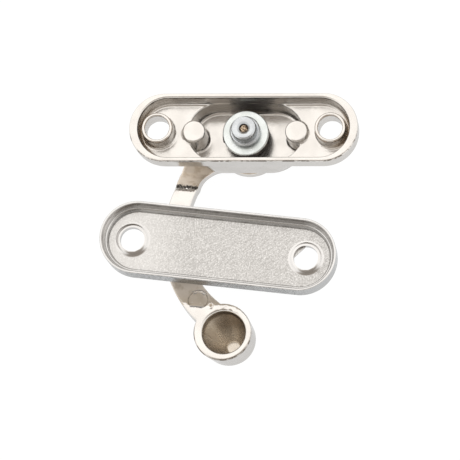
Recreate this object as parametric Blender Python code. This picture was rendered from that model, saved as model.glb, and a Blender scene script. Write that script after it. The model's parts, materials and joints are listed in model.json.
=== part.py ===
"""Swing-arm box latch, lying face down, with the backs of both plates facing +Z.

The upper plate carries a pin on which a C-shaped arm with a hollow round knob swings. A spring on the back
pulls the arm against the plate. The keeper plate is loose, and the knob drops over a peg on its front.
"""

import math

import bmesh
import bpy
from mathutils import Vector

MM = 0.001

# Driving dimensions, in millimetres. Depths are measured down from the backs of the plates.
BACK_Z = 8.8  # height of both plates' backs above the surface the latch lies on
GAP = 0.2  # clearance between pieces that touch
HOLE_D, HOLE_SINK = 3.0, 0.75  # screw holes, and how far their countersinks spread and go in

PLATE_LENGTH, PLATE_WIDTH = 28.0, 8.64
PLATE_END_DEPTH = 3.6  # thickness of the two ends
PLATE_END_ROUND = 1.3
PLATE_LIP = 0.15  # bevel round the back
PAN_LENGTH, PAN_WIDTH, PAN_DEPTH = 25.9, 7.45, 2.45
POCKET_LENGTH, POCKET_WIDTH, POCKET_DEPTH = 14.1, 7.2, 5.75
PAD_LENGTH_TOP, PAD_LENGTH_FRONT, PAD_WIDTH_TOP, PAD_WIDTH_FRONT = 15.5, 14.0, 8.4, 8.3
PAD_DEPTH, PAD_ROUND = 6.6, 0.7
BOSS_X, BOSS_D, BOSS_TOP_DEPTH = 10.58, 3.8, 0.1
POST_X, POST_D, POST_TOP_DEPTH = 6.28, 2.75, 1.75
DRAFT = 0.026  # inward lean of cast walls, in mm for each mm of depth
FILLET = 0.3  # round where a wall meets a floor
NIP = 0.1  # bevel on small edges
OVERLAP = 0.3  # how far joined solids run into each other
OVERCUT = 0.5  # how far cutting tools run past the faces they cut

PIN_R, PIN_TENON_R, PIN_HEAD_R, PIN_HEAD_T = 1.0, 0.46, 1.8, 0.6
PIN_SHOULDER_DEPTH, PIN_TIP_DEPTH = 1.35, 0.5
WASHER_D, WASHER_TOP_DEPTH, WASHER_T = 5.65, 2.6, 0.5
COLLAR_FLANGE_D, COLLAR_HUB_D = 3.75, 3.05
COLLAR_FLANGE_DEPTH, COLLAR_TOP_DEPTH = 1.6, 0.3
COLLAR_BORE_R, COLLAR_TENON_R, COLLAR_STEP_DEPTH = 1.15, 0.58, 1.15
COLLAR_LIFT = 0.15  # running clearance above the washer
SPRING_TOP_R, SPRING_FOOT_R, SPRING_WIRE, SPRING_TURNS = 2.75, 2.15, 0.4, 2.0

REST_SWING = math.radians(5.0)  # how far the arm is swung open as it lies
KNOB_REACH = 24.83  # from the pivot axis to the knob's axis
KNOB_R, KNOB_MOUTH_DEPTH, KNOB_EDGE = 3.55, 3.35, 1.1
KNOB_FRONT_R, KNOB_FRONT_SHIFT = 3.25, (0.31, 0.1)  # the knob narrows and leans towards its front
# The knob's hollow is straight at first, then leans and narrows to a small floor.
HOLLOW_R, HOLLOW_SHIFT, HOLLOW_STRAIGHT = 2.63, (0.16, 0.0), 1.1
HOLLOW_FLOOR_R, HOLLOW_FLOOR_SHIFT, HOLLOW_FLOOR_Z = 1.0, (1.0, -0.9), 1.1
EYE_R, EYE_BACK_DEPTH, EYE_EDGE = 4.1, 6.85, 0.8
STRAP_BACK_DEPTH = 4.5
STRAP_FRONT_Z = 1.7
STRAP_BACK_ROUND, STRAP_FRONT_ROUND = 0.18, 0.8
# The strap's outline in plan, as arcs of (centre X, centre Y, radius). The shoulder arc runs off the eye.
SHOULDER_ARC = (3.28, -6.5, 11.38)
OUTER_ARC = (6.0, -12.1, 14.94)
INNER_ARC = (6.0, -11.2, 12.1)
FILLET_ARC = (-2.35, -6.65, 2.95)
# Along the arm, where the strap's back and front change level, as (how far down -Y, which level)
BACK_SLOPES, FRONT_SLOPES = (-4.55, -7.0, -18.4, -21.75), (-4.4, -7.4, -19.5, -23.5)
STRAP_START, STRAP_END, FILLET_STEPS, PLAIN_STEP = 3.3, -23.9, 8, 0.8
MIDDLE_Y = -12.0  # the inner and outer arcs take over from the shoulder and the fillet by here
STRAP_ROOT_X = -1.0  # the strap's inner edge starts here, inside the eye
KNOB_TUCK_OUTER, KNOB_TUCK_INNER = -2.8, -0.4  # the strap's edges stop here, inside the knob
MARK_X, MARK_Y, MARK_R, MARK_SINK = -3.47, -21.12, 1.22, 0.15  # shallow round ejector mark on the slope

KEEPER_LENGTH, KEEPER_WIDTH, KEEPER_DEPTH = 29.0, 9.05, 3.1
KEEPER_FLOOR_DEPTH, KEEPER_FRONT_ROUND = 1.83, 0.55
# The keeper's stepped pan, as (how far inside the outline, depth)
KEEPER_PAN = ((0.17, -0.3), (0.3, 0.1), (0.6, 1.15), (0.72, 1.2), (0.965, KEEPER_FLOOR_DEPTH))
# The raised ring round each of its holes, as (radius, height above the floor)
KEEPER_RING = ((2.4, -0.2), (2.3, 0.0), (1.85, 0.3), (1.62, 0.4))
KEEPER_HOLE_X = 10.67
KEEPER_X, KEEPER_Y = -2.68, -14.82
KEEPER_TURN = math.radians(-6.15)
PEG_D, PEG_H = 3.6, 0.8

ARC = 16  # segments in half a turn of an obround
ROUND = 40  # segments in a full turn


def bottom_centre():
    """The middle of the whole latch in plan, measured from the pivot axis, in millimetres."""
    end_radius = KEEPER_WIDTH / 2
    reach = (KEEPER_LENGTH / 2 - end_radius) * math.cos(KEEPER_TURN) + end_radius
    left, right = KEEPER_X - reach, PLATE_LENGTH / 2
    near, far = -KNOB_REACH * math.cos(REST_SWING) - KNOB_R, PLATE_WIDTH / 2
    return (left + right) / 2, (near + far) / 2


def clear_scene():
    for item in list(bpy.data.objects):
        bpy.data.objects.remove(item, do_unlink=True)


def make_collection(name):
    group = bpy.data.collections.new(name)
    bpy.context.scene.collection.children.link(group)
    return group


def make_material(name, colour, roughness, metallic):
    material = bpy.data.materials.new(name)
    material.use_nodes = True
    shader = material.node_tree.nodes["Principled BSDF"]
    shader.inputs["Base Color"].default_value = (*colour, 1.0)
    shader.inputs["Roughness"].default_value = roughness
    shader.inputs["Metallic"].default_value = metallic
    material.diffuse_color = (*colour, 1.0)
    return material


def new_object(name, bm, group):
    bmesh.ops.recalc_face_normals(bm, faces=bm.faces)
    mesh = bpy.data.meshes.new(name)
    bm.to_mesh(mesh)
    bm.free()
    made = bpy.data.objects.new(name, mesh)
    group.objects.link(made)
    return made


def obround(length, width, depth):
    """A ring of points round an obround at one depth, in millimetres, counterclockwise from +X."""
    radius = width / 2
    straight = length / 2 - radius
    ring = []
    for side, start in ((1, -90), (-1, 90)):
        for i in range(ARC + 1):
            angle = math.radians(start + 180 * i / ARC)
            x = side * straight + radius * math.cos(angle)
            ring.append((x, radius * math.sin(angle), BACK_Z - depth))
    return ring


def circle(radius, z, centre=(0.0, 0.0), segments=ROUND):
    turn = [2 * math.pi * i / segments for i in range(segments)]
    return [(centre[0] + radius * math.cos(a), centre[1] + radius * math.sin(a), z) for a in turn]


def loft(name, rings, group):
    """A closed solid through rings of equally many points, in millimetres, capped at both ends."""
    bm = bmesh.new()
    rows = [[bm.verts.new(Vector(p) * MM) for p in ring] for ring in rings]
    count = len(rows[0])
    for low, high in zip(rows, rows[1:]):
        for i in range(count):
            j = (i + 1) % count
            bm.faces.new((low[i], low[j], high[j], high[i]))
    bm.faces.new(rows[0])
    bm.faces.new(reversed(rows[-1]))
    return new_object(name, bm, group)


def turned(name, profile, group, centre=(0.0, 0.0), segments=ROUND):
    """A solid of stacked circles. The profile is a list of (radius, z)."""
    return loft(name, [circle(r, z, centre, segments) for r, z in profile], group)


def rounded_drop(size, depth, radius, steps=4):
    """(inset, depth) pairs for a quarter-round edge that ends a wall at this depth."""
    pairs = []
    for i in range(1, steps + 1):
        angle = math.radians(90 * i / steps)
        drop = depth - radius * (1 - math.sin(angle))
        pairs.append((size + radius * (1 - math.cos(angle)), drop))
    return pairs


def combine(target, tool, operation, cutters):
    """Adds an exact Boolean and moves its tool among the cutters. The tool stays in the target's frame."""
    step = target.modifiers.new(f"{operation.lower()}_{tool.name}", "BOOLEAN")
    step.operation = operation
    step.solver = "EXACT"
    step.object = tool
    for group in list(tool.users_collection):
        group.objects.unlink(tool)
    cutters.objects.link(tool)
    tool.parent = target
    tool.hide_render = True
    tool.display_type = "WIRE"


def finish_piece(piece, material, smooth_angle=40):
    piece.data.materials.append(material)
    piece.data.shade_smooth()
    piece.data.set_sharp_from_angle(angle=math.radians(smooth_angle))


def screw_hole(name, x, group, front_z):
    """A through hole with a countersink on the front for the screw's head."""
    radius = HOLE_D / 2
    profile = [
        (radius + HOLE_SINK + OVERCUT, front_z - OVERCUT),
        (radius + HOLE_SINK, front_z),
        (radius, front_z + HOLE_SINK),
        (radius, BACK_Z + OVERCUT),
    ]
    return turned(name, profile, group, (x, 0.0), 32)


def quarter_round(radius, edge, steps=4):
    """(radius, height) pairs for a disc's rounded front edge, from the front up to its wall."""
    turn = [math.radians(90 * i / steps) for i in range(steps + 1)]
    return [(radius - edge * (1 - math.sin(a)), edge * (1 - math.cos(a))) for a in turn]


def build_upper_plate(parts, cutters, material):
    wall_depth = PLATE_END_DEPTH - PLATE_END_ROUND
    lean = DRAFT * wall_depth
    levels = [(PLATE_LIP, 0.0), (0.0, PLATE_LIP), (lean, wall_depth)]
    levels += rounded_drop(lean, PLATE_END_DEPTH, PLATE_END_ROUND)
    outer = [obround(PLATE_LENGTH - 2 * s, PLATE_WIDTH - 2 * s, d) for s, d in levels]
    plate = loft("upper_plate", outer, parts)

    pad = [obround(PAD_LENGTH_TOP, PAD_WIDTH_TOP, 1.0)]
    pad.append(obround(PAD_LENGTH_TOP, PAD_WIDTH_TOP, PLATE_END_DEPTH))
    pad.append(obround(PAD_LENGTH_FRONT, PAD_WIDTH_FRONT, PAD_DEPTH - PAD_ROUND))
    for inset, depth in rounded_drop(0.0, PAD_DEPTH, PAD_ROUND):
        pad.append(obround(PAD_LENGTH_FRONT - 2 * inset, PAD_WIDTH_FRONT - 1.2 * inset, depth))
    combine(plate, loft("pad", pad, parts), "UNION", cutters)

    lean = DRAFT * PAN_DEPTH
    pan = [
        obround(PAN_LENGTH + 0.8, PAN_WIDTH + 0.8, -OVERCUT),
        obround(PAN_LENGTH, PAN_WIDTH, NIP),
        obround(PAN_LENGTH - 2 * lean, PAN_WIDTH - 2 * lean, PAN_DEPTH - FILLET),
        obround(PAN_LENGTH - 2 * lean - FILLET, PAN_WIDTH - 2 * lean - FILLET, PAN_DEPTH),
    ]
    combine(plate, loft("pan", pan, parts), "DIFFERENCE", cutters)

    lean = DRAFT * (POCKET_DEPTH - PAN_DEPTH)
    length, width = POCKET_LENGTH - 2 * lean, POCKET_WIDTH - 2 * lean
    pocket = [
        obround(POCKET_LENGTH, POCKET_WIDTH, PAN_DEPTH - 2 * OVERCUT),
        obround(length, width, POCKET_DEPTH - FILLET),
        obround(length - FILLET, width - FILLET, POCKET_DEPTH),
    ]
    combine(plate, loft("pocket", pocket, parts), "DIFFERENCE", cutters)

    boss_r, post_r = BOSS_D / 2, POST_D / 2
    for side, end in ((-1, "left"), (1, "right")):
        top, foot = BACK_Z - BOSS_TOP_DEPTH, BACK_Z - PAN_DEPTH - OVERLAP
        boss = [(boss_r + 0.05, foot), (boss_r, top - NIP), (boss_r - NIP, top)]
        combine(plate, turned(f"boss_{end}", boss, parts, (side * BOSS_X, 0.0), 32), "UNION", cutters)
        top, foot = BACK_Z - POST_TOP_DEPTH, BACK_Z - POCKET_DEPTH - OVERLAP
        post = [(post_r + 0.08, foot), (post_r, top - NIP), (post_r - NIP, top)]
        combine(plate, turned(f"post_{end}", post, parts, (side * POST_X, 0.0), 24), "UNION", cutters)
        hole = screw_hole(f"screw_hole_{end}", side * BOSS_X, parts, BACK_Z - PLATE_END_DEPTH)
        combine(plate, hole, "DIFFERENCE", cutters)
    clearance = PIN_R + GAP
    bore = [(clearance, BACK_Z - PAD_DEPTH - OVERCUT), (clearance, BACK_Z - POCKET_DEPTH + OVERCUT)]
    combine(plate, turned("pin_bore", bore, parts, segments=24), "DIFFERENCE", cutters)
    finish_piece(plate, material)
    return plate


def left_of_arc(arc, y):
    """The X of the left half of a circle, given as (centre X, centre Y, radius), at this Y."""
    x, centre_y, radius = arc
    return x - math.sqrt(max(radius**2 - (y - centre_y) ** 2, 0.0))


def strap_edges(y):
    """The strap's outer and inner X at a place along the arm, with the arm straight down -Y."""
    waist, fillet_y = SHOULDER_ARC[1], FILLET_ARC[1]
    outer = left_of_arc(SHOULDER_ARC, max(y, waist))
    if y < MIDDLE_Y:
        outer = left_of_arc(OUTER_ARC, y)
    elif y < waist:
        outer = min(outer, left_of_arc(OUTER_ARC, y))
    if y > fillet_y + FILLET_ARC[2]:
        inner = STRAP_ROOT_X
    elif y > fillet_y:
        inner = left_of_arc(FILLET_ARC, y)
    elif y > MIDDLE_Y:
        inner = min(FILLET_ARC[0] - FILLET_ARC[2], left_of_arc(INNER_ARC, y))
    else:
        inner = left_of_arc(INNER_ARC, y)
    if y <= STRAP_END:
        outer = max(outer, KNOB_TUCK_OUTER)
    return outer, min(inner, KNOB_TUCK_INNER)


def ramp(y, stops):
    """A value that runs straight from stop to stop, where the stops are (y, value) with y falling."""
    if y >= stops[0][0]:
        return stops[0][1]
    for (y0, v0), (y1, v1) in zip(stops, stops[1:]):
        if y >= y1:
            return v0 + (v1 - v0) * (y0 - y) / (y0 - y1)
    return stops[-1][1]


def strap_section(y, back_stops, front_stops):
    """One closed ring across the strap at a constant Y, with small rounds behind and big ones in front."""
    left, right = strap_edges(y)
    top, foot = ramp(y, back_stops), ramp(y, front_stops)
    small, big = STRAP_BACK_ROUND, min(STRAP_FRONT_ROUND, 0.4 * (right - left))
    corners = (
        (right, top, -1, -1, small, 0, 2),
        (left, top, 1, -1, small, 90, 2),
        (left, foot, 1, 1, big, 180, 4),
        (right, foot, -1, 1, big, 270, 4),
    )
    ring = []
    for x, z, to_x, to_z, radius, start, steps in corners:
        for i in range(steps + 1):
            angle = math.radians(start + 90 * i / steps)
            px = x + to_x * radius + radius * math.cos(angle)
            ring.append((px, y, z + to_z * radius + radius * math.sin(angle)))
    return ring


def strap_stations():
    """Where the strap's rings stand: even steps, the level changes, and close steps in the fillet."""
    stations = [STRAP_START, STRAP_END, *BACK_SLOPES, *FRONT_SLOPES]
    plain = int((STRAP_START - STRAP_END) / PLAIN_STEP)
    stations += [STRAP_START - PLAIN_STEP * i for i in range(1, plain)]
    for i in range(FILLET_STEPS):
        stations.append(FILLET_ARC[1] + FILLET_ARC[2] * math.cos(math.radians(5 + 70 * i / FILLET_STEPS)))
    return sorted({round(y, 3) for y in stations}, reverse=True)


def leaning_circle(radius, z, shift):
    return circle(radius, z, (shift[0], shift[1] - KNOB_REACH))


def build_knob(group):
    """A round knob whose wall leans a little as it narrows towards a rounded front."""
    mouth = BACK_Z - KNOB_MOUTH_DEPTH
    front = quarter_round(KNOB_FRONT_R, KNOB_EDGE)
    rings = [leaning_circle(r, z, KNOB_FRONT_SHIFT) for r, z in front]
    upright = (0.0, 0.0)
    rings += [leaning_circle(KNOB_R, mouth - NIP, upright), leaning_circle(KNOB_R - NIP, mouth, upright)]
    return loft("knob", rings, group)


def knob_hollow(group):
    mouth = BACK_Z - KNOB_MOUTH_DEPTH
    nip = 1.5 * NIP
    rings = [
        leaning_circle(HOLLOW_FLOOR_R - FILLET, HOLLOW_FLOOR_Z, HOLLOW_FLOOR_SHIFT),
        leaning_circle(HOLLOW_FLOOR_R, HOLLOW_FLOOR_Z + FILLET, HOLLOW_FLOOR_SHIFT),
        leaning_circle(HOLLOW_R - NIP, mouth - HOLLOW_STRAIGHT, HOLLOW_SHIFT),
        leaning_circle(HOLLOW_R, mouth - nip, HOLLOW_SHIFT),
        leaning_circle(HOLLOW_R + nip, mouth, HOLLOW_SHIFT),
        leaning_circle(HOLLOW_R + nip + OVERCUT, mouth + OVERCUT, HOLLOW_SHIFT),
    ]
    return loft("knob_hollow", rings, group)


def mark_cut(back_stops, group):
    """A round cut whose floor runs parallel to the slope that leads up to the knob."""
    (start, low), (end, high) = back_stops[-2:]
    rise = (high - low) / (end - start)
    top = circle(MARK_R, BACK_Z - KNOB_MOUTH_DEPTH + OVERCUT, (MARK_X, MARK_Y), 28)
    floor = [(x, y, low + rise * (y - start) - MARK_SINK) for x, y, _ in top]
    return loft("mark_cut", [floor, top], group)


def build_swing_arm(parts, cutters, material):
    eye_top = BACK_Z - EYE_BACK_DEPTH
    strap_top = BACK_Z - STRAP_BACK_DEPTH
    mouth = BACK_Z - KNOB_MOUTH_DEPTH
    tuck = 0.03  # keeps the strap's faces just inside those of the eye and the knob
    back_stops = tuple(zip(BACK_SLOPES, (eye_top - tuck, strap_top, strap_top, mouth - tuck)))
    front_stops = tuple(zip(FRONT_SLOPES, (tuck, STRAP_FRONT_Z, STRAP_FRONT_Z, STRAP_FRONT_Z + 0.5)))
    arm = loft("swing_arm", [strap_section(y, back_stops, front_stops) for y in strap_stations()], parts)

    eye = quarter_round(EYE_R, EYE_EDGE) + [(EYE_R, eye_top - NIP), (EYE_R - NIP, eye_top)]
    combine(arm, turned("eye", eye, parts), "UNION", cutters)
    combine(arm, build_knob(parts), "UNION", cutters)

    combine(arm, mark_cut(back_stops, parts), "DIFFERENCE", cutters)
    combine(arm, knob_hollow(parts), "DIFFERENCE", cutters)

    head_r, head_t, clearance = PIN_HEAD_R + GAP, PIN_HEAD_T + GAP, PIN_R + GAP
    hole = [(head_r, -OVERCUT), (head_r, head_t), (clearance, head_t), (clearance, eye_top + OVERCUT)]
    combine(arm, turned("eye_hole", hole, parts, segments=32), "DIFFERENCE", cutters)
    finish_piece(arm, material)
    arm.rotation_euler = (0.0, 0.0, -REST_SWING)
    return arm


def build_pivot_pin(parts, material):
    shoulder, tip = BACK_Z - PIN_SHOULDER_DEPTH, BACK_Z - PIN_TIP_DEPTH
    profile = [
        (PIN_HEAD_R - 0.2, 0.1),
        (PIN_HEAD_R, 0.25),
        (PIN_HEAD_R, PIN_HEAD_T),
        (PIN_R, PIN_HEAD_T),
        (PIN_R, shoulder),
        (PIN_TENON_R, shoulder),
        (PIN_TENON_R, tip - 0.1),
        (PIN_TENON_R - 0.12, tip),
    ]
    pin = turned("pivot_pin", profile, parts, segments=24)
    finish_piece(pin, material)
    return pin


def build_washer(parts, cutters, material):
    top = BACK_Z - WASHER_TOP_DEPTH
    radius = WASHER_D / 2
    foot = top - WASHER_T
    profile = [(radius - NIP, foot), (radius, foot + NIP), (radius, top - NIP), (radius - NIP, top)]
    washer = turned("spring_washer", profile, parts)
    hole = [(PIN_R + GAP, foot - OVERCUT), (PIN_R + GAP, top + OVERCUT)]
    combine(washer, turned("washer_hole", hole, parts, segments=24), "DIFFERENCE", cutters)
    finish_piece(washer, material)
    return washer


def build_collar(parts, cutters, material):
    seat = BACK_Z - WASHER_TOP_DEPTH + COLLAR_LIFT
    flange, hub = COLLAR_FLANGE_D / 2, COLLAR_HUB_D / 2
    step, top = BACK_Z - COLLAR_FLANGE_DEPTH, BACK_Z - COLLAR_TOP_DEPTH
    profile = [
        (flange - 0.05, seat),
        (flange, seat + 0.1),
        (flange, step - 0.15),
        (flange - 0.15, step),
        (hub + 0.05, step),
        (hub, step + 0.08),
        (hub, top - 0.3),
        (hub - 0.09, top - 0.09),
        (hub - 0.3, top),
    ]
    collar = turned("retaining_collar", profile, parts)
    inner_step = BACK_Z - COLLAR_STEP_DEPTH
    bore = [(COLLAR_BORE_R, seat - OVERCUT), (COLLAR_BORE_R, inner_step), (COLLAR_TENON_R, inner_step),
            (COLLAR_TENON_R, top - 0.2), (COLLAR_TENON_R + 0.22, top), (1.3, top + OVERCUT)]
    combine(collar, turned("collar_bore", bore, parts, segments=24), "DIFFERENCE", cutters)
    finish_piece(collar, material)
    return collar


def build_spring(parts, material):
    top = BACK_Z - WASHER_TOP_DEPTH - WASHER_T - GAP - SPRING_WIRE / 2
    foot = BACK_Z - POCKET_DEPTH + GAP + SPRING_WIRE / 2
    steps = int(SPRING_TURNS * 20)
    curve = bpy.data.curves.new("return_spring", "CURVE")
    curve.dimensions = "3D"
    curve.bevel_depth = SPRING_WIRE / 2 * MM
    curve.bevel_resolution = 2
    curve.use_fill_caps = True
    spline = curve.splines.new("POLY")
    spline.points.add(steps)
    for i, point in enumerate(spline.points):
        share = i / steps
        angle = 2 * math.pi * SPRING_TURNS * share + math.radians(200)
        radius = SPRING_FOOT_R + (SPRING_TOP_R - SPRING_FOOT_R) * share
        z = foot + (top - foot) * share
        point.co = (radius * math.cos(angle) * MM, radius * math.sin(angle) * MM, z * MM, 1.0)
    spring = bpy.data.objects.new("return_spring", curve)
    parts.objects.link(spring)
    curve.materials.append(material)
    return spring


def build_keeper_plate(parts, cutters, material):
    straight = KEEPER_DEPTH - KEEPER_FRONT_ROUND
    lean = DRAFT * straight
    levels = [(NIP, 0.0), (0.03, 0.03), (0.0, NIP), (lean, straight)]
    levels += rounded_drop(lean, KEEPER_DEPTH, KEEPER_FRONT_ROUND)
    outer = [obround(KEEPER_LENGTH - 2 * s, KEEPER_WIDTH - 2 * s, d) for s, d in levels]
    keeper = loft("keeper_plate", outer, parts)
    pan = [obround(KEEPER_LENGTH - 2 * s, KEEPER_WIDTH - 2 * s, d) for s, d in KEEPER_PAN]
    combine(keeper, loft("keeper_pan", pan, parts), "DIFFERENCE", cutters)

    floor, front = BACK_Z - KEEPER_FLOOR_DEPTH, BACK_Z - KEEPER_DEPTH
    ring = [(r, floor + h) for r, h in KEEPER_RING]
    for side, end in ((-1, "left"), (1, "right")):
        place = (side * KEEPER_HOLE_X, 0.0)
        combine(keeper, turned(f"hole_ring_{end}", ring, parts, place, 32), "UNION", cutters)
        hole = screw_hole(f"keeper_hole_{end}", side * KEEPER_HOLE_X, parts, front)
        combine(keeper, hole, "DIFFERENCE", cutters)
    radius, tip = PEG_D / 2, front - PEG_H
    peg = [(radius - 0.4, tip), (radius - 0.1, tip + 0.12), (radius, tip + 0.4), (radius, front + OVERLAP)]
    combine(keeper, turned("catch_peg", peg, parts, segments=32), "UNION", cutters)
    finish_piece(keeper, material)
    keeper.location = (KEEPER_X * MM, KEEPER_Y * MM, 0.0)
    keeper.rotation_euler = (0.0, 0.0, KEEPER_TURN)
    return keeper


def main():
    clear_scene()
    parts = make_collection("swing_arm_latch")
    cutters = make_collection("cutters")
    nickel = make_material("plated_nickel", (0.82, 0.76, 0.69), 0.22, 1.0)
    brushed = make_material("brushed_nickel", (0.72, 0.69, 0.66), 0.38, 1.0)
    zinc = make_material("bright_zinc", (0.82, 0.86, 0.87), 0.3, 1.0)
    steel = make_material("spring_steel", (0.12, 0.11, 0.11), 0.45, 1.0)
    copper = make_material("peened_steel", (0.45, 0.33, 0.24), 0.4, 1.0)

    pivot_axis = bpy.data.objects.new("pivot_axis", None)
    middle_x, middle_y = bottom_centre()
    pivot_axis.location = (-middle_x * MM, -middle_y * MM, 0.0)
    parts.objects.link(pivot_axis)
    for piece in (
        build_upper_plate(parts, cutters, nickel),
        build_keeper_plate(parts, cutters, brushed),
        build_spring(parts, steel),
        build_swing_arm(parts, cutters, nickel),
        build_pivot_pin(parts, copper),
        build_washer(parts, cutters, zinc),
        build_collar(parts, cutters, zinc),
    ):
        piece.parent = pivot_axis


main()
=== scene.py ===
"""Looks for the swing-arm latch: finely modelled castings, plated metals, a white studio and the camera.

Shapes are worked out in millimetres about the pivot axis, with depths measured down from the backs of the
two plates. They are placed in metres where the CAD frame has them.
"""

import json
import math

import bmesh
import bpy
from mathutils import Matrix, Vector, noise


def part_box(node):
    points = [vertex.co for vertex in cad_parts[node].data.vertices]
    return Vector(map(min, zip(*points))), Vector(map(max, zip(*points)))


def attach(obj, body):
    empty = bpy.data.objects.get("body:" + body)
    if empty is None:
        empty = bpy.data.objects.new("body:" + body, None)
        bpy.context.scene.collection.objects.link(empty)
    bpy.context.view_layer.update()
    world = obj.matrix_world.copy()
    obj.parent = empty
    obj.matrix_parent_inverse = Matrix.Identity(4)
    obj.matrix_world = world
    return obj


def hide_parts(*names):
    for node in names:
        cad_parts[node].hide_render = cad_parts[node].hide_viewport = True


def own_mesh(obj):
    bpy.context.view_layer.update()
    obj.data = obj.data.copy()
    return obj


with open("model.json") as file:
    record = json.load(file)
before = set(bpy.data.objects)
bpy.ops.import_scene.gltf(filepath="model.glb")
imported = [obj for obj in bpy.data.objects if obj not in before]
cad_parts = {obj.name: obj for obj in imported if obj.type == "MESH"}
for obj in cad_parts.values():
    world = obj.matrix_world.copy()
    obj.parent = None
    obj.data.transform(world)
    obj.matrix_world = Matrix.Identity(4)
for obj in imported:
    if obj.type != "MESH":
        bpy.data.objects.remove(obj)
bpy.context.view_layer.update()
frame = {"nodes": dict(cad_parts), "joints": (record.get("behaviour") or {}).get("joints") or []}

MM = 0.001

JOINTS = {joint["name"]: joint for joint in frame["joints"]}
PIVOT = Vector(JOINTS["arm_swing"]["pos_m"])
PLATE_LOW, PLATE_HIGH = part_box("upper_plate")
KEEPER_LOW, KEEPER_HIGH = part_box("keeper_plate")
WASHER_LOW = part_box("spring_washer")[0]

# Upper plate, in millimetres: the first four are read from the frame
BACK = PLATE_HIGH.z / MM
PLATE_LENGTH = (PLATE_HIGH.x - PLATE_LOW.x) / MM
PLATE_WIDTH = (PLATE_HIGH.y - PLATE_LOW.y) / MM
PAD_DEPTH = (PLATE_HIGH.z - PLATE_LOW.z) / MM
END_DEPTH, END_ROUND = 3.6, 1.3
PAD_LENGTH, PAD_WIDTH, PAD_EDGE, PAD_SIDE_LEAN = 14.0, 8.3, 0.7, 1.2
PAD_ROOT = (15.5, 8.4)
PAN_LENGTH, PAN_WIDTH, PAN_DEPTH, PAN_FILLET = 25.9, 7.45, 2.45, 0.3
POCKET_LENGTH, POCKET_WIDTH, POCKET_DEPTH = 14.1, 7.2, 5.75
BOSS_X, BOSS_D, BOSS_TOP, HOLE_D, HOLE_SINK = 10.58, 3.8, 0.1, 3.0, 0.75
POST_X, POST_D, POST_TOP = 6.28, 2.75, 1.75
PIN_BORE_R = 1.2
PLATE_RIM = [(0.12, 0.0), (0.03, 0.03), (0.0, 0.12)]  # (inset, depth) of a soft edge, as below
DRAFT = 0.026  # how much a cast wall leans in, as a share of its depth
NIP = 0.1  # a small bevel on a turned edge
OVERLAP, OVERCUT = 0.3, 0.5  # how far joined solids run into each other, and cutters past a surface

# Swing arm, with the arm straight down -Y from the pivot. Arcs give a centre's X and Y, and a radius
EYE_R, EYE_BACK, EYE_EDGE = 4.1, 6.85, 0.8
PIN_HEAD_R, PIN_HEAD_DEPTH = 2.0, 0.8
STRAP_BACK, STRAP_FRONT_Z, STRAP_WAIST = 4.5, 1.7, -12.0
SHOULDER_ARC = (3.28, -6.5, 11.38)
OUTER_ARC = (6.0, -12.1, 14.94)
INNER_ARC = (6.0, -11.2, 12.1)
FILLET_ARC = (-2.35, -6.65, 2.95)
KNOB_REACH, KNOB_R, KNOB_MOUTH, KNOB_EDGE = 24.83, 3.55, 3.35, 1.1
KNOB_FRONT_R, KNOB_FRONT_SHIFT = 3.25, (0.31, 0.1)
HOLLOW_R, HOLLOW_SHIFT, HOLLOW_STRAIGHT = 2.63, (0.16, 0.0), 1.1
HOLLOW_FLOOR_R, HOLLOW_FLOOR_SHIFT, HOLLOW_FLOOR_Z = 1.0, (1.0, -0.9), 1.1
STRAP_START, STRAP_END = 3.3, -23.9
STRAP_ROOT_X, TUCK_OUTER, TUCK_INNER = -1.0, -2.8, -0.4
STRAP_STEP, BACK_CORNER, FRONT_CORNER = 0.35, 0.15, 0.8
SLOPE_END, UPPER_EDGE_Y = -21.75, -6.9
MARK_R, MARK_AT, MARK_SINK = 1.22, (-3.47, -21.12), 0.15
STUD_R, STUD_AT = 0.42, (-1.78, -21.65)
REST_SWING = math.radians(5.0)

# Keeper plate and coil spring
KEEPER_LENGTH, KEEPER_WIDTH, KEEPER_DEPTH, KEEPER_FLOOR = 29.0, 9.05, 3.1, 1.83
KEEPER_HOLE_X, KEEPER_EDGE = 10.67, 0.55
KEEPER_TURN = math.radians(-6.15)
KEEPER_MIDDLE = (KEEPER_LOW + KEEPER_HIGH) / 2
KEEPER_RIM = [(0.1, 0.0), (0.05, 0.015), (0.015, 0.05), (0.0, 0.1)]
KEEPER_PAN = [(0.17, -0.3), (0.24, 0.0), (0.27, 0.03), (0.3, 0.1), (0.585, 1.1), (0.6, 1.14),
              (0.63, 1.165), (0.71, 1.19), (0.73, 1.22), (0.93, KEEPER_FLOOR - 0.07),
              (0.965, KEEPER_FLOOR - 0.02), (1.03, KEEPER_FLOOR)]
PEG_D, PEG_H = 3.6, 0.8
FLASH_CHORD, FLASH_RISE, FLASH_THICK, FLASH_TURN = 1.12, 0.95, 0.22, math.radians(140)
WIRE_R, COIL_TURNS, COIL_TOP_R, COIL_FOOT_R, COIL_GAP = 0.2, 2.0, 2.75, 2.15, 0.2
COIL_START, COIL_STEPS, COIL_SIDES = math.radians(200), 220, 14

# How finely shapes are made
ARM_VOXEL, PLATE_VOXEL = 0.105, 0.117  # grain of the castings' final surfaces
ARM_PASSES, PLATE_PASSES = 4, 3  # smoothing after the remesh
SWELL, SWELL_SIZE = 0.012, 2.2  # depth and spacing of the castings' waves
ARC = 64  # steps round an obround's end
ROUND = 96  # steps round a circle
SHARP_ANGLE = math.radians(35)  # the keeper's edges above this stay crisp

# Camera and stage
CAMERA_LEAN, CAMERA_SIDE = 0.25, -0.122  # how far it looks from below, and from one side
CAMERA_DISTANCE, VIEW_WIDTH = 0.6, 55.79 * MM
AIM_LEFT, AIM_BELOW = 1.589, 12.48
SENSOR_WIDTH = 36.0
FLOOR_SIZE, FLOOR_DROP, FLOOR_GLOW = 30.0, 0.00002, 0.97
STUDIO_STRENGTH = 1.5

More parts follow.
